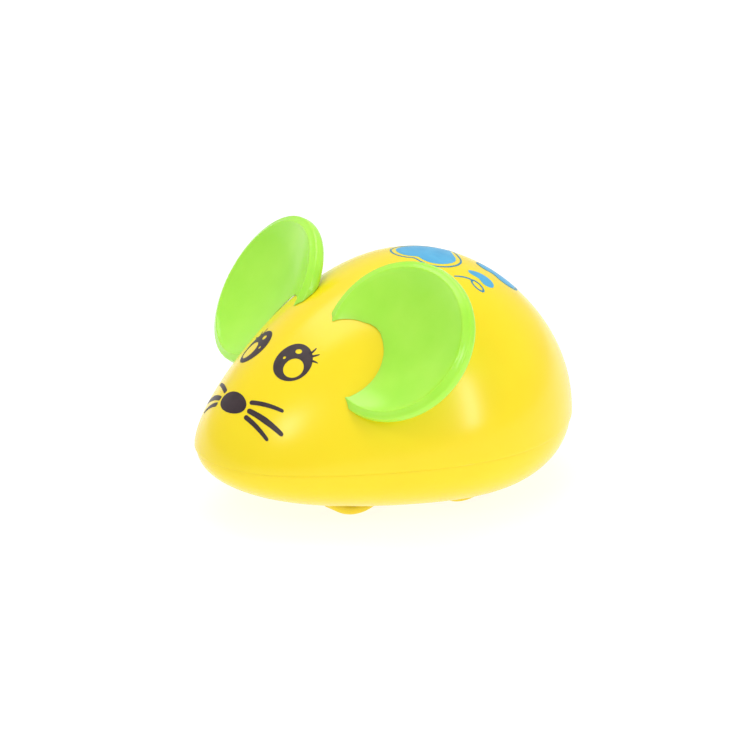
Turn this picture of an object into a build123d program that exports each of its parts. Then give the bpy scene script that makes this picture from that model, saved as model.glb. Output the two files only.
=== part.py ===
from build123d import *
import math
import os

# Clockwork mouse: a moulded plastic egg-shaped body on four wheels, with two dished ears,
# and a spring movement between two plates that drives the rear axle.
# Frame: +Z up, nose toward -Y, the mouse's left toward +X, origin on the ground below the middle.

# Body outline
HALF_LENGTH = 46.0
HALF_WIDTH = 34.9
DOME_HEIGHT = 36.8
PARTING_Z = 14.6
WALL = 1.8
PLAN_TERMS = (1.0, -0.21, -0.15, 0.17, 0.05)
RISE_TERMS = (1.0, -0.24, -0.19, 0.13, -0.01)
SHOULDER_TERMS = (0.11, 0.21, 0.07)
GRID_STEPS = 41
GRID_REACH = 1.12
OUTLINE_POINTS = 48

# Base tray
TRAY_BOTTOM_Z = 1.7
TRAY_FLAT_SHARE = 0.52
TRAY_FLAT_SHIFT_Y = 10.5
TRAY_NOSE_SHIFT_Y = 18.0
TRAY_INSET = 0.4
TRAY_ANGLES = (0, 18, 36, 54, 70, 82, 90)
LIP_HEIGHT = 1.6
LIP_WALL = 1.2
FLOOR_Z = TRAY_BOTTOM_Z + WALL

# Screws that close the body
BOSS_CENTRES = ((0.0, -31.0), (17.0, 31.0), (-17.0, 31.0))
BOSS_RADIUS = 3.2
SCREW_RADIUS = 1.2
SCREW_HEAD_RADIUS = 2.1
SCREW_HEAD_HEIGHT = 1.3
SCREW_SEAT_Z = 7.5
SCREW_BITE = 7.0
CLEARANCE = 0.15

# Ears
EAR_CENTRE = (24.6, -14.7, 42.4)
EAR_RADIUS = 17.8
EAR_YAW = 13.8
EAR_TILT = 33.1
EAR_DEPTH = 4.1
EAR_WALL = 1.6
EAR_LIP_RADIUS = 1.6
EAR_DISH_EDGE = 0.6
EAR_STRETCH = 1.06
NOTCH_CURVE = (
    (-20.4, -0.2),
    (-17.6, -1.6),
    (-15.0, -1.4),
    (-12.6, 1.8),
    (-9.6, 2.2),
    (-6.4, -1.0),
    (-5.2, -6.2),
    (-6.4, -10.2),
    (-8.6, -13.0),
    (-8.6, -16.6),
)
NOTCH_CORNERS = ((-9.5, -24.0), (-26.0, -24.0), (-26.0, 0.4))
PEG_RADIUS = 2.2
PEG_X = 2.2
PEG_Y = -4.5
PEG_END = -14.0

# Movement: shaft positions as (y, z), every shaft along X
WINDING_AXIS = (16.0, 27.0)
DRIVE_AXIS = (7.6, 11.0)
FRONT_AXIS = (-15.8, 11.0)
MODULE = 0.6
GREAT_TEETH = 36
SECOND_TEETH = 27
GOVERNOR_TEETH = 18
PINION_TEETH = 9
BACKLASH = 0.14
ESCAPE_TEETH = 8
ESCAPE_RADIUS = 4.4
PLATE_X = 9.0
PLATE_THICKNESS = 1.0
PLATE_Y = (-4.4, 30.0)
PLATE_Z = (5.6, 41.0)
RUNNING = 0.05
WINDING_RADIUS = 1.6
ARBOR_RADIUS = 1.0
AXLE_RADIUS = 1.25

# Wheels
WHEEL_RADIUS = 11.0
WHEEL_WIDTH = 5.0
WHEEL_GAP = 0.8
REAR_WHEEL_X = 17.8
FRONT_WHEEL_X = 10.2

# Key
KEY_OUTER_X = -41.0
KEY_WING_X = -35.3
KEY_INNER_X = -27.0
KEY_STEM_RADIUS = 3.0
KEY_WING_REACH = 8.5


def series(terms, c):
    return sum(k * c**n for n, k in enumerate(terms))


def dome_solid(margin):
    """Upper body volume, its outer face moved inward by margin, flat at the parting plane."""
    rows = []
    for i in range(GRID_STEPS):
        p = 2 * i / (GRID_STEPS - 1) - 1
        row = []
        for j in range(GRID_STEPS):
            q = 2 * j / (GRID_STEPS - 1) - 1
            u = p * math.sqrt(1 - q * q / 2) * GRID_REACH
            v = q * math.sqrt(1 - p * p / 2) * GRID_REACH
            reach = math.hypot(u, v)
            angle = reach * math.pi / 2
            stretch = math.sin(angle) / reach if reach > 1e-9 else math.pi / 2
            side = u * stretch
            nose = v * stretch
            x = (HALF_WIDTH - margin) * side * series(PLAN_TERMS, nose)
            y = -(HALF_LENGTH - margin) * nose
            height = (DOME_HEIGHT - margin) * series(RISE_TERMS, nose)
            across = side**2 / (1.02 - nose**2)
            shoulder = 1 - series(SHOULDER_TERMS, nose) * across
            row.append((x, y, PARTING_Z + height * shoulder * math.cos(angle)))
        rows.append(row)
    skin = Face.make_surface_from_array_of_points(rows, tol=1e-3, min_deg=3, max_deg=5)
    space = (Pos(0, 0, PARTING_Z + HALF_LENGTH) * Box(150, 150, 2 * HALF_LENGTH)).solid()
    pieces = [part.solid() for part in space.split(skin, keep=Keep.BOTH)]
    return min(pieces, key=lambda piece: piece.volume)


def outline(margin, share, z):
    """Closed egg outline at height z, its size cut by margin and scaled by share."""
    points = []
    for k in range(OUTLINE_POINTS):
        angle = -2 * math.pi * k / OUTLINE_POINTS
        nose = math.sin(angle)
        x = (HALF_WIDTH - margin) * math.cos(angle) * series(PLAN_TERMS, nose) * share
        shift = TRAY_FLAT_SHIFT_Y + TRAY_NOSE_SHIFT_Y * ((1 + nose) / 2) ** 2
        y = -(HALF_LENGTH - margin) * nose * share + (1 - share) * shift
        points.append((x, y, z))
    return Face(Wire(Edge.make_spline([Vector(*point) for point in points], periodic=True)))


def tray_volume(margin, bottom):
    sections = []
    for degrees in TRAY_ANGLES:
        turn = math.radians(degrees)
        share = TRAY_FLAT_SHARE + (1 - TRAY_FLAT_SHARE) * math.cos(turn)
        z = PARTING_Z - (PARTING_Z - bottom) * math.sin(turn)
        sections.append(outline(margin, share, z))
    return loft(sections)


def rod(x_low, x_high, at, radius):
    """Cylinder along X, centred on the (y, z) position."""
    return Pos((x_low + x_high) / 2, *at) * Rot(0, 90, 0) * Cylinder(radius, x_high - x_low)


def block(x, y, z):
    """Box from three (low, high) pairs."""
    middle = [(low + high) / 2 for low, high in (x, y, z)]
    size = [high - low for low, high in (x, y, z)]
    return Pos(*middle) * Box(*size)


def pitch_radius(teeth):
    return MODULE * teeth / 2


def polar(radius, angle):
    return (radius * math.cos(angle), radius * math.sin(angle))


def gear_outline(teeth):
    """Involute-like spur outline, thinned by the backlash."""
    pitch = pitch_radius(teeth)
    base = pitch * math.cos(math.radians(20))
    tip = pitch + 0.85 * MODULE
    root = pitch - 1.15 * MODULE
    flank = math.tan(math.radians(20)) - math.radians(20)
    half = math.pi / (2 * teeth) - BACKLASH / (2 * pitch)
    points = []
    for n in range(teeth):
        centre = 2 * math.pi * n / teeth
        rising = []
        for k in range(5):
            radius = max(base, root) + (tip - max(base, root)) * k / 4
            slope = math.acos(min(1.0, base / radius))
            spread = half + flank - (math.tan(slope) - slope)
            rising.append((radius, spread))
        start = (root, rising[0][1] + 0.02)
        points += [polar(r, centre - s) for r, s in [start] + rising]
        points += [polar(r, centre + s) for r, s in reversed([start] + rising)]
    return points


def spur(teeth, at, x_low, x_high, turn, bore):
    """Spur gear about X at the (y, z) position, one tooth centred at turn radians from +Y."""
    plane = Plane(origin=(x_low, *at), x_dir=(0, 1, 0), z_dir=(1, 0, 0))
    face = make_face(Polyline(gear_outline(teeth), close=True))
    body = extrude(Rot(0, 0, math.degrees(turn)) * face, x_high - x_low)
    return plane * body - rod(x_low - 1, x_high + 1, at, bore)


def direction(start, end):
    return math.atan2(end[1] - start[1], end[0] - start[0])


def meshed_turn(turn, teeth, start, end, other_teeth):
    """Turn of the second gear that puts its tooth gap opposite the first gear's tooth."""
    line = direction(start, end)
    return line + math.pi - teeth / other_teeth * (turn - line) + math.pi / other_teeth


def second_axis():
    """Shaft that meshes with both the great gear and the drive pinion, behind and low."""
    first = pitch_radius(GREAT_TEETH) + pitch_radius(PINION_TEETH)
    last = pitch_radius(SECOND_TEETH) + pitch_radius(PINION_TEETH)
    span = math.dist(WINDING_AXIS, DRIVE_AXIS)
    along = (first**2 - last**2 + span**2) / (2 * span)
    off = math.sqrt(first**2 - along**2)
    uy = (DRIVE_AXIS[0] - WINDING_AXIS[0]) / span
    uz = (DRIVE_AXIS[1] - WINDING_AXIS[1]) / span
    return (WINDING_AXIS[0] + along * uy - off * uz, WINDING_AXIS[1] + along * uz + off * uy)


SECOND_AXIS = second_axis()
ESCAPE_ANGLE = math.radians(164)
ESCAPE_REACH = pitch_radius(GOVERNOR_TEETH) + pitch_radius(PINION_TEETH)
ESCAPE_AXIS = (
    DRIVE_AXIS[0] + ESCAPE_REACH * math.cos(ESCAPE_ANGLE),
    DRIVE_AXIS[1] + ESCAPE_REACH * math.sin(ESCAPE_ANGLE),
)
PALLET_AXIS = (ESCAPE_AXIS[0] + 0.8, ESCAPE_AXIS[1] + 7.6)
GREAT_TURN = 0.0
SECOND_PINION_TURN = meshed_turn(GREAT_TURN, GREAT_TEETH, WINDING_AXIS, SECOND_AXIS, PINION_TEETH)
SECOND_TURN = 0.0
DRIVE_PINION_TURN = meshed_turn(SECOND_TURN, SECOND_TEETH, SECOND_AXIS, DRIVE_AXIS, PINION_TEETH)
GOVERNOR_TURN = 0.0
ESCAPE_PINION_TURN = meshed_turn(GOVERNOR_TURN, GOVERNOR_TEETH, DRIVE_AXIS, ESCAPE_AXIS, PINION_TEETH)

PILLARS = {
    "pillar_front": (1.5, 36.5),
    "pillar_rear": (26.5, 36.5),
    "pillar_low": (27.6, 9.0),
}
FOOT_Y = ((-4.4, -0.6), (22.0, 27.0))
FOOT_SCREWS_Y = (-2.5, 24.5)
FOOT_X = (9.5, 14.0)
FOOT_SCREW_X = 11.9
FOOT_SCREW_LENGTH = 2.8


def ear_plane():
    yaw = math.radians(EAR_YAW)
    tilt = math.radians(EAR_TILT)
    normal = Vector(math.sin(yaw) * math.cos(tilt), -math.cos(yaw) * math.cos(tilt), math.sin(tilt))
    up = (Vector(0, 0, 1) - normal * normal.Z).normalized()
    return Plane(origin=EAR_CENTRE, x_dir=up.cross(normal), z_dir=normal)


def bowl_ball(rim, depth, bottom):
    """Ball whose cap of the given rim radius and depth starts at the bottom height."""
    radius = (rim**2 + depth**2) / (2 * depth)
    return Pos(0, 0, bottom + radius) * Sphere(radius)


def ear(outer):
    """Left ear: a dish with a rolled lip, a notch that clasps the head, and a peg behind it."""
    lip = EAR_LIP_RADIUS
    rim = EAR_RADIUS - lip - EAR_DISH_EDGE
    rim_z = math.sqrt(lip**2 - EAR_DISH_EDGE**2) - lip
    front = bowl_ball(rim, EAR_DEPTH + rim_z, -EAR_DEPTH)
    back = bowl_ball(EAR_RADIUS, EAR_DEPTH + EAR_WALL - lip, -EAR_DEPTH - EAR_WALL)
    dish = back & Pos(0, 0, -lip - EAR_RADIUS / 2) * Cylinder(EAR_RADIUS, EAR_RADIUS)
    dish += Pos(0, 0, -lip) * Torus(EAR_RADIUS - lip, lip)
    dish -= front
    dish = Pos(-EAR_RADIUS * (EAR_STRETCH - 1), 0, 0) * scale(dish, by=(EAR_STRETCH, 1, 1))
    curve = Spline(*NOTCH_CURVE)
    notch = make_face([curve, Polyline(curve @ 1, *NOTCH_CORNERS, curve @ 0)])
    dish -= extrude(Pos(0, 0, -10) * notch, 20)
    dish -= ear_plane().location.inverse() * outer
    peg = Pos(PEG_X, PEG_Y, (PEG_END - EAR_DEPTH) / 2) * Cylinder(PEG_RADIUS, -PEG_END - EAR_DEPTH - 0.4)
    return ear_plane() * max((dish + peg).solids(), key=lambda piece: piece.volume)


def peg_hole():
    hole = Pos(PEG_X, PEG_Y, PEG_END / 2) * Cylinder(PEG_RADIUS + RUNNING, -PEG_END + 8)
    return ear_plane() * hole


def upper_shell():
    outer = dome_solid(0)
    inner = dome_solid(WALL)
    shell = outer - inner
    for x, y in BOSS_CENTRES:
        boss = Pos(x, y, PARTING_Z + HALF_LENGTH / 2) * Cylinder(BOSS_RADIUS, HALF_LENGTH)
        shell += boss & inner
    for x, y in BOSS_CENTRES:
        shell -= Pos(x, y, PARTING_Z) * Cylinder(SCREW_RADIUS - 0.1, 2 * SCREW_BITE + 2)
    shell -= rod(-50, 0, WINDING_AXIS, KEY_STEM_RADIUS + 0.4)
    for side in (peg_hole(), peg_hole().mirror(Plane.YZ)):
        shell -= side
    return shell


def wheel_slots():
    slots = []
    for x, at in ((REAR_WHEEL_X, DRIVE_AXIS), (FRONT_WHEEL_X, FRONT_AXIS)):
        for side in (x, -x):
            half = WHEEL_WIDTH / 2 + WHEEL_GAP
            slots.append(rod(side - half, side + half, at, WHEEL_RADIUS + WHEEL_GAP))
    return slots


def base_tray():
    outer = tray_volume(TRAY_INSET, TRAY_BOTTOM_Z)
    tray = outer - tray_volume(TRAY_INSET + WALL, FLOOR_Z)
    ring = WALL + CLEARANCE
    lip = extrude(outline(ring, 1.0, PARTING_Z - 1.5), LIP_HEIGHT + 1.5)
    lip -= extrude(outline(ring + LIP_WALL, 1.0, PARTING_Z - 1.5), LIP_HEIGHT + 1.5)
    for x, y in BOSS_CENTRES:
        lip -= Pos(x, y, PARTING_Z + LIP_HEIGHT) * Cylinder(BOSS_RADIUS + 0.3, 2 * LIP_HEIGHT)
    tray += lip
    for x, y in BOSS_CENTRES:
        tray += outer & Pos(x, y, PARTING_Z / 2) * Cylinder(BOSS_RADIUS, PARTING_Z)
    for side in (1, -1):
        for y in FOOT_SCREWS_Y:
            top = PLATE_Z[0]
            post = Pos(side * FOOT_SCREW_X, y, (FLOOR_Z - 1 + top) / 2)
            tray += post * Cylinder(2.1, top - FLOOR_Z + 1)
        x = sorted((side * 3.5, side * 6.5))
        tray += block(x, (FRONT_AXIS[0] - 3, FRONT_AXIS[0] + 3), (FLOOR_Z - 1, FRONT_AXIS[1] + 3))
    for slot in wheel_slots():
        tray -= slot
    for side in (1, -1):
        for y in FOOT_SCREWS_Y:
            tray -= Pos(side * FOOT_SCREW_X, y, PLATE_Z[0]) * Cylinder(0.7, 4.0)
    tray -= rod(-8, 8, FRONT_AXIS, ARBOR_RADIUS + RUNNING)
    for x, y in BOSS_CENTRES:
        tray -= Pos(x, y, 0) * Cylinder(SCREW_HEAD_RADIUS + 0.3, 2 * SCREW_SEAT_Z)
        tray -= Pos(x, y, PARTING_Z / 2) * Cylinder(SCREW_RADIUS + 0.2, PARTING_Z * 2)
    return max(tray.solids(), key=lambda piece: piece.volume)


def shell_screws():
    screws = []
    for x, y in BOSS_CENTRES:
        head_z = SCREW_SEAT_Z - SCREW_HEAD_HEIGHT / 2
        head = Pos(x, y, head_z) * Cylinder(SCREW_HEAD_RADIUS, SCREW_HEAD_HEIGHT)
        top = PARTING_Z + SCREW_BITE
        middle = (SCREW_SEAT_Z + top) / 2
        shank = Pos(x, y, middle) * Cylinder(SCREW_RADIUS - 0.1, top - SCREW_SEAT_Z)
        cross = Pos(x, y, SCREW_SEAT_Z - SCREW_HEAD_HEIGHT) * (Box(2.6, 0.5, 1.0) + Box(0.5, 2.6, 1.0))
        screws.append(head + shank - cross)
    return Compound(children=[screw.solid() for screw in screws])


def movement_plate(side):
    x = sorted((side * (PLATE_X - PLATE_THICKNESS / 2), side * (PLATE_X + PLATE_THICKNESS / 2)))
    plate = block(x, PLATE_Y, PLATE_Z)
    corners = plate.edges().filter_by(Axis.X).group_by(Axis.Z)[-1]
    plate = fillet(corners, 5.0)
    foot_x = sorted((side * (FOOT_X[0] - 0.2), side * FOOT_X[1]))
    for y in FOOT_Y:
        plate += block(foot_x, y, (PLATE_Z[0], PLATE_Z[0] + PLATE_THICKNESS))
    for y in FOOT_SCREWS_Y:
        plate -= Pos(side * FOOT_SCREW_X, y, PLATE_Z[0]) * Cylinder(0.95, 6)
    far = side * 20
    holes = [(WINDING_AXIS, WINDING_RADIUS), (DRIVE_AXIS, AXLE_RADIUS)]
    holes += [(SECOND_AXIS, ARBOR_RADIUS), (ESCAPE_AXIS, ARBOR_RADIUS), (PALLET_AXIS, ARBOR_RADIUS)]
    for at, radius in holes:
        plate -= rod(min(0, far), max(0, far), at, radius + RUNNING)
    for at in PILLARS.values():
        plate -= rod(min(0, far), max(0, far), at, 0.9)
    return plate


def pillar(at):
    inner = PLATE_X - PLATE_THICKNESS / 2
    outer = PLATE_X + PLATE_THICKNESS / 2 + 0.6
    return rod(-inner, inner, at, 1.7) + rod(-outer, outer, at, 0.9)


def movement_screws():
    screws = []
    for x in (FOOT_SCREW_X, -FOOT_SCREW_X):
        for y in FOOT_SCREWS_Y:
            seat = PLATE_Z[0] + PLATE_THICKNESS
            head = Pos(x, y, seat + 0.5) * Cylinder(1.6, 1.0)
            shank = Pos(x, y, seat - FOOT_SCREW_LENGTH / 2) * Cylinder(0.7, FOOT_SCREW_LENGTH)
            cross = Pos(x, y, seat + 1.0) * (Box(2.0, 0.4, 0.8) + Box(0.4, 2.0, 0.8))
            screws.append(head + shank - cross)
    return Compound(children=[screw.solid() for screw in screws])


def mainspring():
    """Flat spiral strip between the great gear and the right-hand plate."""
    turns = 4.5
    start = 3.2
    end = 9.0
    half_strip = 0.2
    steps = 12
    sides = []
    for shift in (half_strip, -half_strip):
        points = []
        for k in range(int(turns * steps) + 1):
            angle = 2 * math.pi * k / steps
            points.append(polar(start + shift + (end - start) * k / (turns * steps), angle))
        sides.append(Spline(*points))
    outer, inner = sides
    ends = [Line(outer @ 0, inner @ 0), Line(outer @ 1, inner @ 1)]
    plane = Plane(origin=(-7.9, *WINDING_AXIS), x_dir=(0, 1, 0), z_dir=(1, 0, 0))
    return plane * extrude(make_face([outer, inner, *ends]), 3.8)


def winding_key():
    """Key with a round stem through the flank and a flat two-lobed wing."""
    key = rod(KEY_WING_X - 0.2, KEY_INNER_X, WINDING_AXIS, KEY_STEM_RADIUS)
    low, high = KEY_OUTER_X, KEY_WING_X
    wing = block((low, high), (WINDING_AXIS[0] - 5, WINDING_AXIS[0] + 5), (25.8, 28.2))
    for side in (1, -1):
        y = WINDING_AXIS[0] + side * (KEY_WING_REACH - 3.05)
        wing += Pos((low + high) / 2, y, WINDING_AXIS[1]) * Cylinder(3.05, 2.4)
    key += wing
    return key - rod(-33.0, KEY_INNER_X + 1, WINDING_AXIS, WINDING_RADIUS)


def winding_arbor():
    return rod(-33.0, PLATE_X + 1.6, WINDING_AXIS, WINDING_RADIUS)


def arbor_washer():
    return rod(PLATE_X + 0.6, PLATE_X + 1.4, WINDING_AXIS, 3.0) - rod(0, 20, WINDING_AXIS, WINDING_RADIUS)


def ratchet_wheel():
    teeth = 12
    points = []
    for n in range(teeth):
        angle = 2 * math.pi * n / teeth
        points.append(polar(4.6, angle))
        points.append(polar(3.6, angle + 0.06))
    plane = Plane(origin=(-3.3, *WINDING_AXIS), x_dir=(0, 1, 0), z_dir=(1, 0, 0))
    wheel = extrude(make_face(Polyline(points, close=True)), 1.2)
    return plane * wheel - rod(-5, 0, WINDING_AXIS, WINDING_RADIUS)


def great_gear():
    return spur(GREAT_TEETH, WINDING_AXIS, -1.6, -0.2, GREAT_TURN, WINDING_RADIUS + RUNNING)


CLICK_AT = (WINDING_AXIS[0] + 1.0, WINDING_AXIS[1] + 7.6)


def click_pawl():
    y, z = CLICK_AT
    plane = Plane(origin=(-3.2, 0, 0), x_dir=(0, 1, 0), z_dir=(1, 0, 0))
    nose = make_face(Polyline((y - 0.2, z + 1.3), (y + 0.4, z - 1.3), (y - 5.4, z - 2.1), close=True))
    pawl = plane * extrude(nose + Pos(y, z) * Circle(1.4), 1.4)
    return pawl - rod(-5, 0, CLICK_AT, 0.6)


def click_rivet():
    return rod(-3.2, -1.6, CLICK_AT, 0.6) + rod(-3.6, -3.2, CLICK_AT, 1.1)


def click_spring():
    y, z = CLICK_AT
    return block((-2.9, -1.6), (y - 6.8, y - 6.4), (z - 3.2, z + 0.6)) + block(
        (-2.9, -2.5), (y - 6.8, y - 1.7), (z + 0.2, z + 0.6)
    )


def second_arbor():
    return rod(-PLATE_X - 1.0, PLATE_X + 1.0, SECOND_AXIS, ARBOR_RADIUS)


def second_pinion():
    return spur(PINION_TEETH, SECOND_AXIS, -2.0, 0.4, SECOND_PINION_TURN, ARBOR_RADIUS)


def second_gear():
    return spur(SECOND_TEETH, SECOND_AXIS, 2.0, 3.2, SECOND_TURN, ARBOR_RADIUS)


def drive_axle():
    reach = REAR_WHEEL_X + WHEEL_WIDTH / 2 + 0.4
    return rod(-reach, reach, DRIVE_AXIS, AXLE_RADIUS)


def drive_pinion():
    return spur(PINION_TEETH, DRIVE_AXIS, 1.6, 3.8, DRIVE_PINION_TURN, AXLE_RADIUS)


def governor_gear():
    return spur(GOVERNOR_TEETH, DRIVE_AXIS, 5.0, 6.2, GOVERNOR_TURN, AXLE_RADIUS)


def escape_arbor():
    return rod(-PLATE_X - 1.0, PLATE_X + 1.0, ESCAPE_AXIS, ARBOR_RADIUS)


def escape_pinion():
    return spur(PINION_TEETH, ESCAPE_AXIS, 4.6, 6.6, ESCAPE_PINION_TURN, ARBOR_RADIUS)


def escape_wheel():
    points = []
    for n in range(ESCAPE_TEETH):
        angle = 2 * math.pi * n / ESCAPE_TEETH
        points.append(polar(ESCAPE_RADIUS, angle - 0.06))
        points.append(polar(ESCAPE_RADIUS, angle + 0.06))
        points.append(polar(2.6, angle + 0.28))
        points.append(polar(2.6, angle + 0.5))
    plane = Plane(origin=(-4.6, *ESCAPE_AXIS), x_dir=(0, 1, 0), z_dir=(1, 0, 0))
    wheel = extrude(make_face(Polyline(points, close=True)), 1.2)
    return plane * wheel - rod(-6, 0, ESCAPE_AXIS, ARBOR_RADIUS)


def pallet_staff():
    return rod(-PLATE_X - 1.0, PLATE_X + 1.0, PALLET_AXIS, ARBOR_RADIUS)


def pallet_lever():
    """Anchor with two arms that stop just clear of the escape wheel's tips."""
    y, z = PALLET_AXIS
    plane = Plane(origin=(-4.7, 0, 0), x_dir=(0, 1, 0), z_dir=(1, 0, 0))
    arms = Pos(y, z) * Circle(2.2)
    arms += Pos(y, z + 0.1) * Rectangle(10.0, 1.8)
    anchor = plane * extrude(arms, 1.4)
    anchor -= rod(-6, 0, ESCAPE_AXIS, ESCAPE_RADIUS + 0.7)
    return anchor - rod(-6, 0, PALLET_AXIS, ARBOR_RADIUS)


def wheel(x, at, bore):
    half = WHEEL_WIDTH / 2
    body = rod(x - half, x + half, at, WHEEL_RADIUS)
    tread = body.edges().filter_by(GeomType.CIRCLE)
    body = fillet(tread, 0.8)
    for side in (1, -1):
        face = x + side * half
        low, high = sorted((face - side * 1.4, face + side * 1))
        body -= rod(low, high, at, WHEEL_RADIUS - 2.0) - rod(low, high, at, 3.2)
    return body - rod(x - half - 1, x + half + 1, at, bore)


def front_axle():
    reach = FRONT_WHEEL_X + WHEEL_WIDTH / 2 + 0.4
    return rod(-reach, reach, FRONT_AXIS, ARBOR_RADIUS)


def main():
    ear_room = dome_solid(-CLEARANCE)
    ear_left = ear(ear_room)
    parts = {
        "upper_shell": upper_shell(),
        "base_tray": base_tray(),
        "shell_screws": shell_screws(),
        "ear_left": ear_left,
        "ear_right": ear_left.mirror(Plane.YZ),
        "movement_plate_left": movement_plate(1),
        "movement_plate_right": movement_plate(-1),
        "movement_screws": movement_screws(),
        "mainspring": mainspring(),
        "winding_key": winding_key(),
        "winding_arbor": winding_arbor(),
        "arbor_washer": arbor_washer(),
        "ratchet_wheel": ratchet_wheel(),
        "great_gear": great_gear(),
        "click_pawl": click_pawl(),
        "click_rivet": click_rivet(),
        "click_spring": click_spring(),
        "second_arbor": second_arbor(),
        "second_pinion": second_pinion(),
        "second_gear": second_gear(),
        "drive_axle": drive_axle(),
        "drive_pinion": drive_pinion(),
        "governor_gear": governor_gear(),
        "drive_wheel_left": wheel(REAR_WHEEL_X, DRIVE_AXIS, AXLE_RADIUS),
        "drive_wheel_right": wheel(-REAR_WHEEL_X, DRIVE_AXIS, AXLE_RADIUS),
        "escape_arbor": escape_arbor(),
        "escape_pinion": escape_pinion(),
        "escape_wheel": escape_wheel(),
        "pallet_staff": pallet_staff(),
        "pallet_lever": pallet_lever(),
        "front_axle": front_axle(),
        "front_wheel_left": wheel(FRONT_WHEEL_X, FRONT_AXIS, ARBOR_RADIUS),
        "front_wheel_right": wheel(-FRONT_WHEEL_X, FRONT_AXIS, ARBOR_RADIUS),
    }
    for name, at in PILLARS.items():
        parts[name] = pillar(at)
    os.makedirs("parts", exist_ok=True)
    for name, shape in parts.items():
        export_step(shape, f"parts/{name}.step")
        print(name, round(shape.volume, 1), [round(v, 2) for v in shape.bounding_box().size])


main()
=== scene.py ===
# %% [markdown]
# # A clockwork mouse in Blender
# The toy is an egg-shaped plastic body in two halves, two dished ears, four wheels and a
# wind-up key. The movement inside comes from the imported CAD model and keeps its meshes.
# We rebuild what shows as smooth plastic, print the face and the back, then light it.

# %% Load the fixed frame
import math

import bpy
import numpy as np
from mathutils import Matrix, Vector


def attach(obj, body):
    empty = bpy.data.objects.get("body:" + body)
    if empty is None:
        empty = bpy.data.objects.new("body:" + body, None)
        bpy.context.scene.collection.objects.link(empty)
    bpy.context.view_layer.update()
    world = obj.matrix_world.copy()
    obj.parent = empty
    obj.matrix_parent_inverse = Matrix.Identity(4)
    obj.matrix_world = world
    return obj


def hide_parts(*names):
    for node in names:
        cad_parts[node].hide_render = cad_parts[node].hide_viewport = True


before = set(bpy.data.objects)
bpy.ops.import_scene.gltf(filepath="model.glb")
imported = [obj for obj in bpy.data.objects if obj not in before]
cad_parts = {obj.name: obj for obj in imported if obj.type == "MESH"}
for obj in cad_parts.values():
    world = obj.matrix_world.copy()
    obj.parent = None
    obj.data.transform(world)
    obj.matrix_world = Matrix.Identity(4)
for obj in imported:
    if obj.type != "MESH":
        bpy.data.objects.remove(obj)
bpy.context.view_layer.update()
MM = 0.001


# %% [markdown]
# ## Working like a person at the screen
# Every operator works on the selection, so each step first drops it, picks one object and
# names it. These few helpers do that, and apply a modifier as soon as it is added.

# %% Selection and modifier helpers
def drop_selection():
    if bpy.context.object and bpy.context.object.mode == "EDIT":
        bpy.ops.object.mode_set(mode="OBJECT")
    bpy.ops.object.select_all(action="DESELECT")


def pick(*pieces):
    drop_selection()
    for piece in pieces:
        piece.select_set(True)
    bpy.context.view_layer.objects.active = pieces[0]


def named(name):
    piece = bpy.context.object
    piece.name = name
    piece.data.name = name
    return piece


def edit(piece, chosen=None):
    """Edit mode with all points selected, or only those that chosen marks as true."""
    pick(piece)
    points = piece.data.vertices
    flags = np.ones(len(points), bool) if chosen is None else chosen(places(piece))
    piece.data.polygons.foreach_set("select", np.zeros(len(piece.data.polygons), bool))
    piece.data.edges.foreach_set("select", np.zeros(len(piece.data.edges), bool))
    points.foreach_set("select", flags)
    bpy.ops.object.mode_set(mode="EDIT")
    bpy.ops.mesh.select_mode(type="VERT")


def places(piece):
    flat = np.empty(len(piece.data.vertices) * 3)
    piece.data.vertices.foreach_get("co", flat)
    return flat.reshape(-1, 3)


def move_points(piece, form):
    """Puts each point where form sends it, given and returned as rows of x, y, z."""
    piece.data.vertices.foreach_set("co", form(places(piece)).ravel())
    piece.data.update()


def modify(piece, kind, **settings):
    pick(piece)
    modifier = piece.modifiers.new(kind.lower(), kind)
    for key, value in settings.items():
        setattr(modifier, key, value)
    bpy.ops.object.modifier_apply(modifier=modifier.name)
    return piece


def combine(piece, tool, operation="DIFFERENCE", solver="MANIFOLD", keep=False):
    modify(piece, "BOOLEAN", object=tool, operation=operation, solver=solver)
    if not keep:
        bpy.data.objects.remove(tool)
    return piece


def copied(piece, name):
    twin = piece.copy()
    twin.data = piece.data.copy()
    bpy.context.scene.collection.objects.link(twin)
    twin.name = name
    twin.data.name = name
    return twin


def tidy_mesh(piece, gap=0.002):
    """Merges doubled points (gap in mm) and turns every face outwards."""
    edit(piece)
    bpy.ops.mesh.remove_doubles(threshold=gap * MM)
    bpy.ops.mesh.normals_make_consistent(inside=False)
    bpy.ops.object.mode_set(mode="OBJECT")
    return piece


def smooth(piece, angle=40):
    pick(piece)
    bpy.ops.object.shade_smooth_by_angle(angle=math.radians(angle))
    return piece


def settle(piece, place):
    """Moves the finished mesh to its place and leaves the object at the origin."""
    piece.data.transform(place)
    piece.matrix_world = Matrix.Identity(4)
    return piece


# %% [markdown]
# ## Materials
# Each finish starts from the real material: moulded ABS and polypropylene, pad-printing ink,
# cut brass, drawn steel. One function turns a hex colour to the linear numbers a shader
# wants, and one adds a node with its settings and links.

# %% Material helpers
def linear(hex_colour):
    parts = [int(hex_colour[i : i + 2], 16) / 255 for i in (1, 3, 5)]
    return (*[p / 12.92 if p < 0.04045 else ((p + 0.055) / 1.055) ** 2.4 for p in parts], 1.0)


def add(tree, kind, settings=(), **links):
    """Adds a node. Settings name a property or a socket; links name an input and its source."""
    node = tree.nodes.new(kind)
    for key, value in dict(settings).items():
        if key in node.inputs:
            node.inputs[key].default_value = value
        else:
            setattr(node, key, value)
    for key, source in links.items():
        tree.links.new(source, node.inputs[key.replace("_", " ")])
    return node


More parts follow.
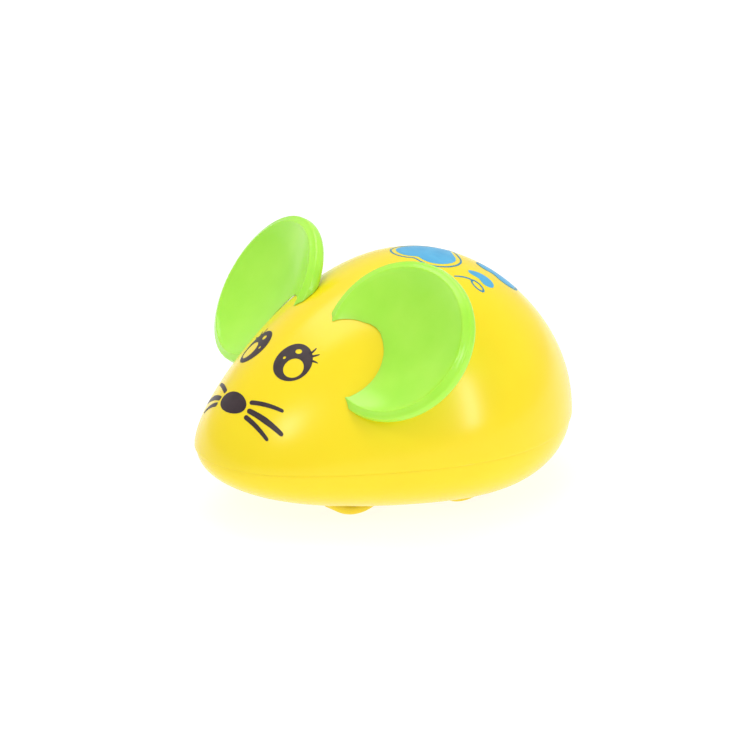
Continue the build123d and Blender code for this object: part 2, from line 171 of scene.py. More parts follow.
def finish(name, shades, grain, relief, **shader):
    """A material whose colour and roughness drift a little, with a fine surface relief.

    shades: two hex colours; grain: size in mm of the drift and of the relief;
    relief: height in mm of the bump; shader: constants of the shader itself."""
    material = bpy.data.materials.new(name)
    material.use_nodes = True
    tree = material.node_tree
    tree.nodes.clear()
    spots = add(tree, "ShaderNodeTexCoord")
    drift = add(
        tree,
        "ShaderNodeTexNoise",
        {"Scale": 1 / (grain[0] * MM), "Detail": 3.0},
        Vector=spots.outputs["Object"],
    )
    ramp = add(tree, "ShaderNodeValToRGB", Fac=drift.outputs["Fac"])
    ramp.color_ramp.elements[0].position = 0.3
    ramp.color_ramp.elements[1].position = 0.7
    ramp.color_ramp.elements[0].color = linear(shades[0])
    ramp.color_ramp.elements[1].color = linear(shades[1])
    rough = shader.pop("Roughness", 0.3)
    vary = add(
        tree,
        "ShaderNodeMapRange",
        {"To Min": rough * 0.88, "To Max": rough * 1.12},
        Value=drift.outputs["Fac"],
    )
    skin = add(
        tree,
        "ShaderNodeTexNoise",
        {"Scale": 1 / (grain[1] * MM), "Detail": 2.0},
        Vector=spots.outputs["Object"],
    )
    bump = add(tree, "ShaderNodeBump", {"Distance": relief * MM, "Strength": 0.6}, Height=skin.outputs["Fac"])
    surface = add(
        tree,
        "ShaderNodeBsdfPrincipled",
        shader,
        Base_Color=ramp.outputs["Color"],
        Roughness=vary.outputs["Result"],
        Normal=bump.outputs["Normal"],
    )
    add(tree, "ShaderNodeOutputMaterial", Surface=surface.outputs["BSDF"])
    return material


# %% [markdown]
# The body is injection-moulded ABS in a strong lemon yellow: glossy, a little light gets in
# under the skin and warms the shadows. The ears are polypropylene, softer and more
# translucent, in lime green. Wheels are the same yellow, less polished from the floor.

# %% Plastics
MILKY = {"Subsurface Radius": (1.0, 0.6, 0.2), "Subsurface Scale": 2.0 * MM}
yellow = finish(
    "yellow_abs_moulded",
    ("#fee010", "#ffe416"),
    (14, 0.7),
    0.004,
    **{"Roughness": 0.24, "IOR": 1.5, "Subsurface Weight": 0.12, **MILKY},
)
green = finish(
    "lime_polypropylene_moulded",
    ("#aaf242", "#b6f84e"),
    (10, 0.6),
    0.004,
    **{"Roughness": 0.22, "IOR": 1.5, "Subsurface Weight": 0.2, **MILKY},
)
rolling_yellow = finish(
    "yellow_abs_wheel",
    ("#f5d90f", "#fbe01a"),
    (6, 0.5),
    0.008,
    **{"Roughness": 0.42, "IOR": 1.53, "Subsurface Weight": 0.08, **MILKY},
)
natural = finish(
    "white_acetal_moulded",
    ("#e8e6dc", "#f1efe6"),
    (5, 0.4),
    0.004,
    **{"Roughness": 0.4, "IOR": 1.48, "Subsurface Weight": 0.15, **MILKY},
)
print("plastics ready")

# %% [markdown]
# Pad printing lays a film of ink a few hundredths of a millimetre thick. It dries
# half-matt, and the pad leaves a faint unevenness, so the ink is rougher than the shell.

# %% Inks
black_ink = finish("pad_ink_black", ("#2a1a20", "#3a292e"), (2.5, 0.25), 0.004, Roughness=0.4)
blue_ink = finish("pad_ink_blue", ("#3fa9dc", "#52b6e4"), (3, 0.25), 0.004, Roughness=0.38)
dark_blue_ink = finish("pad_ink_dark_blue", ("#1c7fa6", "#2590b4"), (3, 0.25), 0.004, Roughness=0.38)
print("inks ready")

# %% [markdown]
# The movement is stamped brass and mild steel, with a blued spring. A metal takes its
# colour from the reflection, so metallic is one and the index of refraction is left alone.

# %% Metals
METAL = {"Metallic": 1.0}
brass = finish("stamped_brass", ("#b8923f", "#c9a550"), (3, 0.3), 0.006, Roughness=0.34, **METAL)
steel = finish("zinc_plated_steel", ("#a9acb0", "#bcc0c4"), (3, 0.3), 0.005, Roughness=0.3, **METAL)
spring_steel = finish(
    "blued_spring_steel", ("#2f3650", "#454a5e"), (4, 0.3), 0.004, Roughness=0.32, **METAL
)
FINISHES = {
    "yellow_plastic": yellow,
    "green_plastic": green,
    "wheel_plastic": rolling_yellow,
    "key_plastic": green,
    "brass": brass,
    "gear_plastic": natural,
    "spring_steel": spring_steel,
    "steel": steel,
}
for node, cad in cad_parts.items():
    for holder in cad.material_slots:
        named_slot = holder.material.name.split(".")[0]
        if named_slot not in FINISHES:
            print("no finish for", node, named_slot)
        holder.material = FINISHES.get(named_slot, steel)
print("metals and CAD finishes ready")


def done(piece, body, slot, material, *nodes):
    """Last step of a piece: its finish, its body and the CAD nodes it stands for, which it hides. slot: not
    used.
    """
    piece.data.materials.clear()
    piece.data.materials.append(material)
    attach(piece, body)
    if nodes:
        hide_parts(*nodes)
    print(piece.name, len(piece.data.polygons), "faces", [round(v / MM, 1) for v in piece.dimensions])
    return piece


# %% [markdown]
# ## The body
# The shell is an egg: narrow nose, wide haunches, highest over the back. A ball made from a
# subdivided cube has even squares and no pinched pole, so highlights run clean over it. Each
# point of the ball is then moved by the same few proportions that shaped the CAD body.

# %% Body proportions, in mm
HALF_LENGTH = 46.0
HALF_WIDTH = 34.9
DOME_HEIGHT = 36.8
PARTING_Z = 14.6
WALL = 1.8
PLAN = (1.0, -0.21, -0.15, 0.17, 0.05)
RISE = (1.0, -0.24, -0.19, 0.13, -0.01)
SHOULDER = (0.11, 0.21, 0.07)
TRAY_INSET = 0.4
TRAY_BOTTOM_Z = 1.7
TRAY_FLAT_SHARE = 0.52
TRAY_FLAT_SHIFT_Y = 10.5
TRAY_NOSE_SHIFT_Y = 18.0
TRAY_MIDDLE_Y = 9.4
BALL_CUTS = 95


def series(terms, c):
    return sum(k * c**n for n, k in enumerate(terms))


def dome_form(margin):
    """Form of the upper body, set in by margin mm."""

    def form(ball):
        side, back, up = (ball / np.linalg.norm(ball, axis=1)[:, None]).T
        nose = -back
        shoulder = 1 - series(SHOULDER, nose) * side**2 / (1.02 - nose**2)
        x = (HALF_WIDTH - margin) * side * series(PLAN, nose)
        z = PARTING_Z + (DOME_HEIGHT - margin) * series(RISE, nose) * shoulder * up
        return np.stack([x, -(HALF_LENGTH - margin) * nose, z], axis=1) * MM

    return form


def tray_form(margin):
    """Form of the base: a quarter-round turn in from the parting line to a flat bottom."""

    def form(ball):
        side, back, up = (ball / np.linalg.norm(ball, axis=1)[:, None]).T
        nose = -back
        flat = np.maximum(np.hypot(side, nose), 1e-9)
        spread = 1 - np.arcsin(np.clip(-up, 0, 1)) / (math.pi / 2)
        turn = np.clip((1 - spread) / 0.6, 0, 1) * math.pi / 2
        share = TRAY_FLAT_SHARE + (1 - TRAY_FLAT_SHARE) * np.cos(turn)
        inner = np.clip(spread / 0.4, 0, 1)
        towards = nose / flat
        x = (HALF_WIDTH - margin) * side / flat * series(PLAN, towards) * share * inner
        shift = TRAY_FLAT_SHIFT_Y + TRAY_NOSE_SHIFT_Y * ((1 + towards) / 2) ** 2
        y = -(HALF_LENGTH - margin) * towards * share + (1 - share) * shift
        y = TRAY_MIDDLE_Y + (y - TRAY_MIDDLE_Y) * inner
        z = PARTING_Z - (PARTING_Z - TRAY_BOTTOM_Z) * np.sin(turn)
        return np.stack([x, y, z], axis=1) * MM

    return form


# %% Half a ball of even squares
def half_ball(name, upper):
    drop_selection()
    bpy.ops.mesh.primitive_cube_add(size=2)
    ball = named(name)
    edit(ball)
    bpy.ops.mesh.subdivide(number_cuts=BALL_CUTS)
    bpy.ops.transform.tosphere(value=1)
    bpy.ops.object.mode_set(mode="OBJECT")
    edit(ball, lambda p: p[:, 2] < -1e-4 if upper else p[:, 2] > 1e-4)
    bpy.ops.mesh.delete(type="VERT")
    bpy.ops.object.mode_set(mode="OBJECT")
    return ball


def closed_dome(name, margin, ball):
    """The upper body as one closed lump, its flat side filled."""
    lump = copied(ball, name)
    move_points(lump, dome_form(margin))
    edit(lump, lambda p: p[:, 2] < (PARTING_Z + 1e-3) * MM)
    bpy.ops.mesh.edge_face_add()
    bpy.ops.object.mode_set(mode="OBJECT")
    return lump


upper_ball = half_ball("upper_ball", True)
lower_ball = half_ball("lower_ball", False)
print("half balls", len(upper_ball.data.polygons), len(lower_ball.data.polygons))


# %% [markdown]
# The shell gets its 1.8 mm wall from Solidify, and its lower rim a small round, which is
# what draws the parting line round the toy. Inside, three posts take the screws.

# %% Round bars and posts
def bar(name, radius, start, end, sides=48):
    """Closed round bar between two points in mm."""
    a, b = Vector(start) * MM, Vector(end) * MM
    drop_selection()
    bpy.ops.mesh.primitive_cylinder_add(vertices=sides, radius=radius * MM, depth=(b - a).length)
    piece = named(name)
    turn = (b - a).to_track_quat("Z", "Y").to_matrix().to_4x4()
    return settle(piece, Matrix.Translation((a + b) / 2) @ turn)


def boxed(name, low, high):
    """Closed box between two corners in mm."""
    low, high = Vector(low) * MM, Vector(high) * MM
    drop_selection()
    bpy.ops.mesh.primitive_cube_add(size=1)
    piece = named(name)
    return settle(piece, Matrix.Translation((low + high) / 2) @ Matrix.Diagonal((*(high - low), 1)))


def unit_in(plane_rows, origin):
    """Place matrix from three axes and an origin in mm."""
    return Matrix.Translation(Vector(origin) * MM) @ Matrix(plane_rows).transposed().to_4x4()


SCREW_PLACES = ((0.0, -31.0), (17.0, 31.0), (-17.0, 31.0))
KEY_AXIS = (16.0, 27.0)
KEY_HOLE_RADIUS = 3.4
POST_RADIUS = 3.2
RIM_ROUND = 0.18
PEG_PLACE = (2.2, -4.5)
PEG_RADIUS = 2.2
PEG_HOLE_RADIUS = 2.25

# %% Ear plane, in mm
EAR_CENTRE = (24.6, -14.7, 42.4)
EAR_YAW = math.radians(13.8)
EAR_TILT = math.radians(33.1)
ear_normal = Vector(
    (
        math.sin(EAR_YAW) * math.cos(EAR_TILT),
        -math.cos(EAR_YAW) * math.cos(EAR_TILT),
        math.sin(EAR_TILT),
    )
)
ear_up = (Vector((0, 0, 1)) - ear_normal * ear_normal.z).normalized()
EAR_PLACE = unit_in((ear_up.cross(ear_normal), ear_up, ear_normal), EAR_CENTRE)
MIRROR_X = Matrix.Diagonal((-1, 1, 1, 1))

# %% Upper shell
shell = copied(upper_ball, "shell_upper")
move_points(shell, dome_form(0))
modify(shell, "SOLIDIFY", thickness=WALL * MM, offset=-1, use_even_offset=True)
modify(shell, "BEVEL", width=RIM_ROUND * MM, segments=3, limit_method="ANGLE", angle_limit=math.radians(60))
middle = closed_dome("post_limit", WALL * 0.5, upper_ball)
for x, y in SCREW_PLACES:
    post = bar("post", POST_RADIUS, (x, y, PARTING_Z), (x, y, 60))
    combine(post, middle, "INTERSECT", keep=True)
    combine(shell, post, "UNION")
    combine(shell, bar("bore", 1.1, (x, y, PARTING_Z - 5), (x, y, PARTING_Z + 8)))
bpy.data.objects.remove(middle)
combine(shell, bar("key_hole", KEY_HOLE_RADIUS, (-50, *KEY_AXIS), (-20, *KEY_AXIS), 64))
for mirrored in (False, True):
    peg_hole = bar("peg_hole", PEG_HOLE_RADIUS, (*PEG_PLACE, 4), (*PEG_PLACE, -18))
    settle(peg_hole, MIRROR_X @ EAR_PLACE if mirrored else EAR_PLACE)
    tidy_mesh(peg_hole)
    combine(shell, peg_hole)
smooth(shell, 35)
done(shell, "housing", "yellow_plastic", yellow, "upper_shell")


# %% [markdown]
# The tray below curves in to a flat bottom, with a round well for each wheel and a deep
# pocket for each screw. Its rim sits a little inside the shell's, so the parting line shows
# as a fine step.

# %% Base tray
REAR_AXLE = (7.6, 11.0)
FRONT_AXLE = (-15.8, 11.0)
REAR_WHEEL_X = 17.8
FRONT_WHEEL_X = 10.2
WHEEL_RADIUS = 11.0
WHEEL_WIDTH = 5.0
WHEEL_GAP = 0.8
tray = copied(lower_ball, "shell_base")
move_points(tray, tray_form(TRAY_INSET))
modify(tray, "SOLIDIFY", thickness=WALL * MM, offset=-1, use_even_offset=True)
modify(tray, "BEVEL", width=RIM_ROUND * MM, segments=3, limit_method="ANGLE", angle_limit=math.radians(60))
tray_limit = copied(lower_ball, "tray_limit")
move_points(tray_limit, tray_form(TRAY_INSET + WALL / 2))
edit(tray_limit, lambda p: p[:, 2] > (PARTING_Z - 1e-3) * MM)
bpy.ops.mesh.edge_face_add()
bpy.ops.object.mode_set(mode="OBJECT")
for x, y in SCREW_PLACES:
    post = bar("post", POST_RADIUS, (x, y, 0), (x, y, PARTING_Z - 0.05))
    combine(post, tray_limit, "INTERSECT", keep=True)
    combine(tray, post, "UNION")
bpy.data.objects.remove(tray_limit)
for x, y in SCREW_PLACES:
    combine(tray, bar("pocket", 2.4, (x, y, 0), (x, y, 7.5)))
    combine(tray, bar("bore", 1.4, (x, y, 5), (x, y, 18)))
for side in (1, -1):
    block = boxed("bearing", (3.5, FRONT_AXLE[0] - 3, 2.6), (6.5, FRONT_AXLE[0] + 3, 14.0))
    settle(block, Matrix.Diagonal((side, 1, 1, 1)))
    tidy_mesh(block)
    combine(tray, block, "UNION")
    for x, axle in ((REAR_WHEEL_X, REAR_AXLE), (FRONT_WHEEL_X, FRONT_AXLE)):
        half = WHEEL_WIDTH / 2 + WHEEL_GAP
        well = bar("well", WHEEL_RADIUS + WHEEL_GAP, (side * x - half, *axle), (side * x + half, *axle), 96)
        combine(tray, well)
combine(tray, bar("axle_bore", 1.05, (-8, *FRONT_AXLE), (8, *FRONT_AXLE)))
smooth(tray, 35)
done(tray, "housing", "yellow_plastic", yellow, "base_tray")


# %% [markdown]
# ## The ears
# Each ear is a shallow dish with a rolled lip, so it is turned like a plate: a profile is
# extruded point by point and spun round the dish's own axis. A round bite with a throat lets
# it clasp the head, and its back is cut to the head's curve. An even remesh and a little
# smoothing in between round the bite's edges.

# %% Turning a profile
def arc(centre, radius, start, end, steps):
    """Points of an arc in (r, z), angles in degrees."""
    angles = np.radians(np.linspace(start, end, steps + 1))
    return [(centre[0] + radius * math.cos(t), centre[1] + radius * math.sin(t)) for t in angles]


def turned(name, profile, steps=128):
    """Spins a profile of (r, z) points in mm about Z into a closed piece."""
    drop_selection()
    bpy.ops.mesh.primitive_plane_add(size=MM)
    piece = named(name)
    edit(piece)
    bpy.ops.mesh.merge(type="CENTER")
    r0, z0 = profile[0]
    bpy.ops.transform.translate(value=(r0 * MM, 0, z0 * MM))
    for (ra, za), (rb, zb) in zip(profile, profile[1:]):
        step = ((rb - ra) * MM, 0, (zb - za) * MM)
        bpy.ops.mesh.extrude_region_move(TRANSFORM_OT_translate={"value": step})
    bpy.ops.mesh.select_all(action="SELECT")
    bpy.ops.mesh.spin(steps=steps, angle=2 * math.pi, center=(0, 0, 0), axis=(0, 0, 1), dupli=False)
    bpy.ops.object.mode_set(mode="OBJECT")
    return tidy_mesh(piece, 0.003)


# %% Flat outlines made solid
def prism(name, loops, low, high, kind="BEZIER"):
    """Closed prism over flat outlines in mm; an outline inside another leaves a hole."""
    curve = bpy.data.curves.new(name, "CURVE")
    curve.dimensions = "2D"
    curve.fill_mode = "BOTH"
    curve.resolution_u = 10
    curve.extrude = (high - low) / 2 * MM
    for loop in loops:
        spline = curve.splines.new(kind)
        spline.use_cyclic_u = True
        if kind == "BEZIER":
            spline.bezier_points.add(len(loop) - 1)
            for point, (x, y) in zip(spline.bezier_points, loop):
                point.co = (x * MM, y * MM, 0)
                point.handle_left_type = point.handle_right_type = "AUTO"
        else:
            spline.points.add(len(loop) - 1)
            for point, (x, y) in zip(spline.points, loop):
                point.co = (x * MM, y * MM, 0, 1)
    piece = bpy.data.objects.new(name, curve)
    bpy.context.scene.collection.objects.link(piece)
    pick(piece)
    bpy.ops.object.convert(target="MESH")
    piece = bpy.context.object
    settle(piece, Matrix.Translation((0, 0, (low + high) / 2 * MM)))
    return tidy_mesh(piece, 0.001)


def ring(centre, radii, turn=0, count=32):
    """Points of an ellipse in mm, turned by degrees."""
    t = np.radians(turn)
    points = []
    for k in range(count):
        a = 2 * math.pi * k / count
        x, y = radii[0] * math.cos(a), radii[1] * math.sin(a)
        along = x * math.cos(t) - y * math.sin(t)
        across = x * math.sin(t) + y * math.cos(t)
        points.append((centre[0] + along, centre[1] + across))
    return points


# %% Ear dish, in mm
EAR_RADIUS = 17.8
EAR_BACK = 5.7
EAR_STRETCH = 1.06
LIP = 1.6
LIP_START = 28.4
LIP_LINES = (94, 40)
LINE_HEIGHT = 0.3
crest = EAR_RADIUS - LIP


def lip_radius(angle):
    """The roll of the lip, with two fine raised lines round it."""
    return LIP + sum(LINE_HEIGHT * math.exp(-(((angle - line) / 10) ** 2)) for line in LIP_LINES)


rim = crest - LIP * math.sin(math.radians(LIP_START))
front_ball = rim / math.sin(math.radians(LIP_START))
rim_z = LIP * math.cos(math.radians(LIP_START)) - LIP
front_centre = rim_z + front_ball * math.cos(math.radians(LIP_START))
profile = arc((0, front_centre), front_ball, -90, -90 + LIP_START, 24)
for angle in np.linspace(90 + LIP_START, -90, 50)[1:]:
    swell = lip_radius(angle)
    turn = math.radians(angle)
    profile.append((crest + swell * math.cos(turn), -LIP + swell * math.sin(turn)))
back_depth = EAR_BACK - LIP
back_ball = (EAR_RADIUS**2 + back_depth**2) / (2 * back_depth)
back_edge = math.degrees(math.asin(14.4 / back_ball))
profile += arc((0, back_ball - EAR_BACK), back_ball, -90 + back_edge, -90, 24)
dish = turned("ear_dish", [(max(r, 0.0), z) for r, z in profile], 160)
shift = Matrix.Translation((-EAR_RADIUS * (EAR_STRETCH - 1) * MM, 0, 0))
settle(dish, shift @ Matrix.Diagonal((EAR_STRETCH, 1, 1, 1)))

# %% Notch that clasps the head, and the peg
NOTCH_CURVE = [(-20.4, -0.2), (-17.6, -1.6), (-15.0, -1.4), (-12.6, 1.8), (-9.6, 2.2), (-6.4, -1.0)]
NOTCH_CURVE += [(-5.2, -6.2), (-6.4, -10.2), (-8.6, -13.0), (-8.6, -16.6), (-10.5, -24.0)]
NOTCH_CURVE += [(-26.0, -24.0), (-26.0, 0.4)]
combine(dish, prism("notch", [NOTCH_CURVE], -12, 12))
modify(dish, "REMESH", mode="VOXEL", voxel_size=0.26 * MM)
modify(dish, "SMOOTH", factor=0.5, iterations=3)
settle(dish, EAR_PLACE)
clear_of_head = closed_dome("clear_of_head", -0.15, upper_ball)
combine(dish, clear_of_head)
peg = bar("peg", PEG_RADIUS, (*PEG_PLACE, -4.4), (*PEG_PLACE, -14))
combine(dish, settle(peg, EAR_PLACE), "UNION")
dish.name = "ear_dish_left"
ear_twin = copied(dish, "ear_dish_right")
settle(ear_twin, MIRROR_X)
edit(ear_twin)
bpy.ops.mesh.flip_normals()
bpy.ops.object.mode_set(mode="OBJECT")
for ear, node in ((dish, "ear_left"), (ear_twin, "ear_right")):
    smooth(ear, 40)
    done(ear, "housing", "green_plastic", green, node)


# %% [markdown]
# ## The printed face and back
# Pad printing puts flat artwork on the curved shell. We do the same: a film a few hundredths
# of a millimetre proud of the shell is cut to the artwork by a straight prism, so the marks
# wrap over the body as they would under a pad.

# %% Ink film
def ink(name, loops, low, high, place, material, kind="BEZIER"):
    film = copied(film_blank, name)
    stamp = prism(name + "_stamp", loops, low, high, kind)
    settle(stamp, place)
    combine(film, stamp, "INTERSECT")
    smooth(film, 30)
    return done(film, "housing", "yellow_plastic", material)


film_blank = copied(upper_ball, "film_blank")
move_points(film_blank, dome_form(-0.05))
modify(film_blank, "SOLIDIFY", thickness=0.1 * MM, offset=-1)
FACE = unit_in(((1, 0, 0), (0, 0.766, 0.643), (0, -0.643, 0.766)), (0, 0, 0))
BACK = Matrix.Identity(4)


def stroke(points, widths, steps=8):
    """Outline of a round-ended brush stroke through points in mm, with its width at each."""
    marks = np.linspace(0, len(points) - 1, steps * (len(points) - 1) + 1)
    bend = np.polyfit(range(len(points)), np.array(points), 2)
    line = [tuple(np.polyval(bend[:, axis], m) for axis in (0, 1)) for m in marks]
    wide = np.interp(marks, range(len(widths)), widths)
    left, right = [], []
    for k, (x, y) in enumerate(line):
        a, b = line[max(k - 1, 0)], line[min(k + 1, len(line) - 1)]
        length = math.dist(a, b)
        nx, ny = -(b[1] - a[1]) / length * wide[k] / 2, (b[0] - a[0]) / length * wide[k] / 2
        left.append((x + nx, y + ny))
        right.append((x - nx, y - ny))
    far_end = stroke_end(line[-1], left[-1], wide[-1])
    near_end = stroke_end(line[0], right[0], wide[0])
    return left + far_end + right[::-1] + near_end


def stroke_end(centre, edge, width):
    """Half circle that closes a stroke, clockwise from its edge."""
    start = math.atan2(edge[1] - centre[1], edge[0] - centre[0])
    turns = [start - math.pi * k / 6 for k in range(1, 6)]
    return [(centre[0] + width / 2 * math.cos(t), centre[1] + width / 2 * math.sin(t)) for t in turns]


def mirrored(loops):
    return [[(-x, y) for x, y in loop] for loop in loops]


# %% [markdown]
# The face: two round eyes with an open middle and two glints, three lashes each, a round
# nose and three whiskers on each side, the middle one the thickest.

# %% Face
eye = [
    ring((6.7, 0.6), (4.05, 4.7), 8),
    ring((7.8, -0.5), (2.1, 2.35), 5),
    ring((6.2, 3.3), (0.75, 0.6), 20, 12),
    ring((4.5, 0.5), (0.3, 0.38), 0, 8),
]
lashes = [
    stroke([(8.6, 4.2), (8.75, 5.0), (8.8, 5.9)], (0.5, 0.4, 0.2)),
    stroke([(9.3, 3.9), (9.8, 4.5), (10.2, 5.1)], (0.5, 0.4, 0.2)),
    stroke([(9.9, 3.0), (10.5, 3.2), (11.1, 3.3)], (0.5, 0.4, 0.2)),
]
whiskers = [
    stroke([(4.8, -11.6), (8.0, -10.4), (11.2, -9.6)], (1.0, 0.95, 0.75)),
    stroke([(5.4, -13.4), (9.4, -13.3), (13.2, -13.7)], (1.1, 1.35, 1.0)),
    stroke([(5.5, -14.9), (8.5, -15.4), (11.3, -16.3)], (1.05, 1.0, 0.8)),
]
for side, flip in (("left", lambda loops: loops), ("right", mirrored)):
    ink("ink_eye_" + side, flip(eye), 36, 52, FACE, black_ink)
    for number, lash in enumerate(lashes):
        ink(f"ink_lash_{number + 1}_{side}", flip([lash]), 36, 52, FACE, black_ink, "POLY")
    for number, whisker in enumerate(whiskers):
        ink(f"ink_whisker_{number + 1}_{side}", flip([whisker]), 30, 52, FACE, black_ink, "POLY")
ink("ink_nose", [ring((0, -13.4), (4.2, 2.4))], 36, 52, FACE, black_ink)

# %% [markdown]
# The back carries a plain garden pattern: a heart with a fine line round it and, towards
# each flank, a curled tendril with a leaf and a small heart with its own line.

# %% Back pattern
heart = [(-0.9, 18.8), (-2.9, 15.2), (-4.6, 11.0), (-4.4, 7.6), (-2.2, 5.6), (0.6, 5.1)]
heart += [(2.4, 5.8), (3.5, 6.9), (5.4, 7.0), (7.1, 7.7), (8.2, 9.3), (8.5, 11.7)]
heart += [(7.6, 14.1), (6.2, 15.4), (4.2, 16.4), (1.6, 17.8)]


def grown(loop, amount):
    """The same outline, wider or narrower by about amount mm."""
    cx = sum(p[0] for p in loop) / len(loop)
    cy = sum(p[1] for p in loop) / len(loop)
    out = []
    for x, y in loop:
        reach = math.hypot(x - cx, y - cy)
        out.append((cx + (x - cx) * (1 + amount / reach), cy + (y - cy) * (1 + amount / reach)))
    return out


leaf = [(11.5, 14.7), (11.3, 16.5), (12.5, 18.6), (14.0, 19.2)]
leaf += [(15.8, 18.3), (16.2, 17.1), (15.5, 15.9), (14.0, 15.8)]
tendril = stroke([(12.9, 9.8), (13.3, 11.6), (13.8, 12.6), (14.4, 13.4)], (0.3, 0.4, 0.45, 0.5))
curl = [ring((16.0, 13.7), (1.75, 1.1), 10, 16), ring((16.0, 13.7), (1.3, 0.7), 10, 16)]
small_heart = [(9.1, 21.3), (10.0, 22.7), (12.0, 23.3), (13.0, 24.8), (12.6, 27.0), (11.0, 29.0), (8.4, 30.2)]
small_heart += [(6.4, 28.0), (5.0, 25.4), (4.8, 23.0), (6.2, 21.2), (7.8, 20.8)]
ink("ink_heart", [heart], 40, 60, BACK, blue_ink)
ink("ink_heart_line", [grown(heart, 1.35), grown(heart, 0.95)], 40, 60, BACK, dark_blue_ink)
for side, flip in (("left", lambda loops: loops), ("right", mirrored)):
    ink("ink_leaf_" + side, flip([leaf]), 35, 60, BACK, blue_ink)
    ink("ink_tendril_" + side, flip([tendril]), 35, 60, BACK, dark_blue_ink, "POLY")
    ink("ink_curl_" + side, flip(curl), 35, 60, BACK, dark_blue_ink)
    ink("ink_small_heart_" + side, flip([grown(small_heart, -0.6)]), 35, 60, BACK, blue_ink)
    heart_line = flip([small_heart, grown(small_heart, -0.45)])
    ink("ink_small_heart_line_" + side, heart_line, 35, 60, BACK, dark_blue_ink)
bpy.data.objects.remove(film_blank)
bpy.data.objects.remove(upper_ball)
bpy.data.objects.remove(lower_ball)


# %% [markdown]
# ## Wheels
# A toy wheel is moulded: a rounded tread with a fine rib pattern for grip, a recessed web
# and a hub. The section is spun, then five oval windows lighten the web.

# %% Wheels
WINDOW_PLACE = 6.1


def wheel(name, x, axle, bore, body, node):
    half = WHEEL_WIDTH / 2
    section = [(bore, -half), (3.0, -half), (3.2, -half + 0.25), (3.3, -half + 1.3), (3.8, -half + 1.4)]
    section += [(8.4, -half + 1.4), (8.9, -half + 1.2), (9.1, -half + 0.2), (9.5, -half), (10.3, -half)]
    section += arc((10.2, -half + 0.8), 0.8, -80, 0, 5)
    for k in range(3):
        z = -half + 1.35 + k * 0.85
        section += [(11.0, z), (10.8, z + 0.15), (10.8, z + 0.45), (11.0, z + 0.6)]
    section += arc((10.2, half - 0.8), 0.8, 0, 80, 5)
    section += [(10.3, half), (9.5, half), (9.1, half - 0.2), (8.9, half - 1.2), (8.4, half - 1.4)]
    section += [(3.8, half - 1.4), (3.3, half - 1.3), (3.2, half - 0.25), (3.0, half)]
    section += [(bore, half), (bore, -half)]
    piece = turned(name, section, 96)
    for k in range(5):
        a = 2 * math.pi * k / 5
        middle = (WINDOW_PLACE * math.cos(a), WINDOW_PLACE * math.sin(a))
        window = prism("window", [ring(middle, (1.6, 1.9), math.degrees(a), 20)], -9, 9)
        combine(piece, window)
    settle(piece, unit_in(((0, 1, 0), (0, 0, 1), (1, 0, 0)), (x, *axle)))
    smooth(piece, 35)
    return done(piece, body, "wheel_plastic", rolling_yellow, node)


for side, sign in (("left", 1), ("right", -1)):
    wheel("rear_wheel_" + side, sign * REAR_WHEEL_X, REAR_AXLE, 1.25, "drive", "drive_wheel_" + side)
    wheel("front_wheel_" + side, sign * FRONT_WHEEL_X, FRONT_AXLE, 1.0, "front", "front_wheel_" + side)


# %% [markdown]
# ## The key
# A short stem comes out of the flank and carries a flat two-lobed wing, narrower at the
# middle. Its edges are well rounded so that it is kind to fingers.

# %% Winding key
wing = ring((0, 0), (8.5, 2.85), 0, 40)
wing = [(x, y * (0.72 + 0.28 * min(1.0, (abs(x) / 5.2) ** 2))) for x, y in wing]
key = prism("key_wing", [wing], -1.2, 1.2)
modify(key, "BEVEL", width=0.5 * MM, segments=4, limit_method="ANGLE", angle_limit=math.radians(50))
settle(key, unit_in(((0, 1, 0), (1, 0, 0), (0, 0, -1)), (-38.15, *KEY_AXIS)))
stem = bar("stem", 3.0, (-35.5, *KEY_AXIS), (-27.0, *KEY_AXIS), 64)
combine(key, stem, "UNION")
collar = bar("collar", 2.6, (-37.2, *KEY_AXIS), (-35.0, *KEY_AXIS), 64)
combine(key, collar, "UNION")
combine(key, bar("arbor_hole", 1.6, (-33.0, *KEY_AXIS), (-26.0, *KEY_AXIS)))
smooth(key, 40)
done(key, "key", "key_plastic", green, "winding_key")

# %% [markdown]
# ## Stage, light and camera
# A back-lit white table keeps the underside bright. A large soft light hangs overhead, a tall
# strip draws the streak along the flank, and a small window light sits in front of the ears.
# The camera stands well back with a long lens, as in a studio.

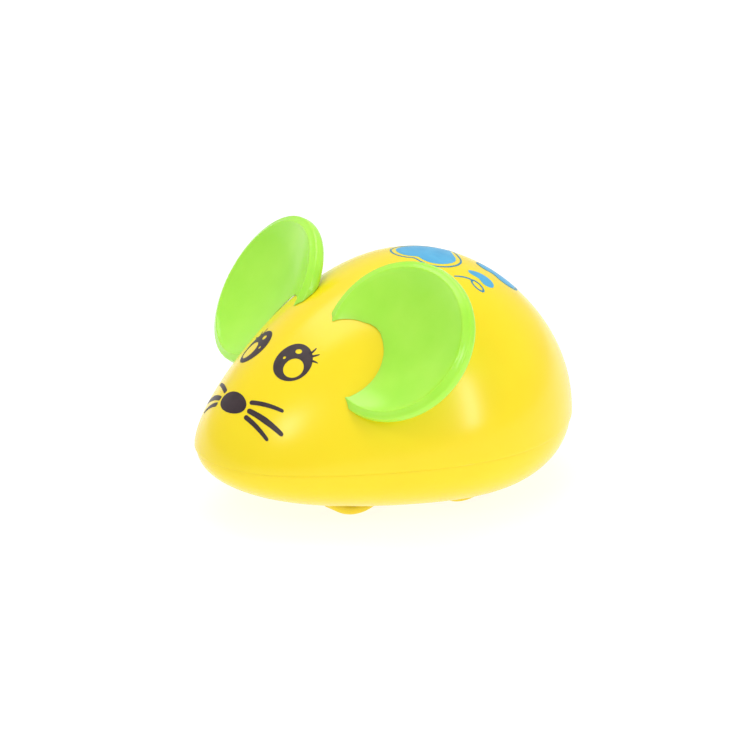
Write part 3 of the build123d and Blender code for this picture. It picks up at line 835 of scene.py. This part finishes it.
# %% Floor
drop_selection()
bpy.ops.mesh.primitive_plane_add(size=6.0)
floor = named("floor")
GLOW = {"Roughness": 0.9, "Emission Color": (1, 1, 1, 1), "Emission Strength": 0.8}
white = finish("backlit_white_acrylic", ("#8e8e8e", "#949494"), (60, 2), 0.002, **GLOW)
floor.data.materials.append(white)

# %% Lights
TARGET = Vector((0, 0, 0.03))


def light(name, place, size, watts, colour="#ffffff"):
    lamp = bpy.data.lights.new(name, "AREA")
    lamp.shape = "RECTANGLE"
    lamp.size, lamp.size_y = size
    lamp.energy = watts
    lamp.color = linear(colour)[:3]
    holder = bpy.data.objects.new(name, lamp)
    bpy.context.scene.collection.objects.link(holder)
    holder.location = place
    holder.rotation_euler = (TARGET - Vector(place)).to_track_quat("-Z", "Y").to_euler()
    return holder


light("overhead", (-0.25, 0.1, 1.0), (0.8, 0.8), 5)
light("strip", (1.0, 0.25, 0.45), (0.1, 0.6), 2.2)
light("ear_window", (0.55, -1.0, 1.0), (0.25, 0.25), 1.8)
world = bpy.data.worlds.new("studio")
world.use_nodes = True
world.node_tree.nodes["Background"].inputs["Color"].default_value = (1, 1, 1, 1)
world.node_tree.nodes["Background"].inputs["Strength"].default_value = 0.62
bpy.context.scene.world = world
bpy.context.scene.view_settings.view_transform = "Standard"

# %% Camera
VIEW_TURN = math.radians(52.37)
VIEW_RISE = math.radians(19.8)
right = Vector((math.cos(VIEW_TURN), math.sin(VIEW_TURN), 0))
above = Vector(
    (
        -math.sin(VIEW_TURN) * math.sin(VIEW_RISE),
        math.cos(VIEW_TURN) * math.sin(VIEW_RISE),
        math.cos(VIEW_RISE),
    )
)
behind = Vector(
    (
        math.sin(VIEW_TURN) * math.cos(VIEW_RISE),
        -math.cos(VIEW_TURN) * math.cos(VIEW_RISE),
        math.sin(VIEW_RISE),
    )
)
lens = bpy.data.cameras.new("camera")
lens.lens = 195.3
lens.sensor_width = 36
lens.clip_start = 0.05
camera = bpy.data.objects.new("camera", lens)
bpy.context.scene.collection.objects.link(camera)
camera.location = behind * 0.9
aim = right * -1.62 * MM + above * 23.98 * MM
camera.rotation_euler = (aim - camera.location).to_track_quat("-Z", "Y").to_euler()
bpy.context.scene.camera = camera
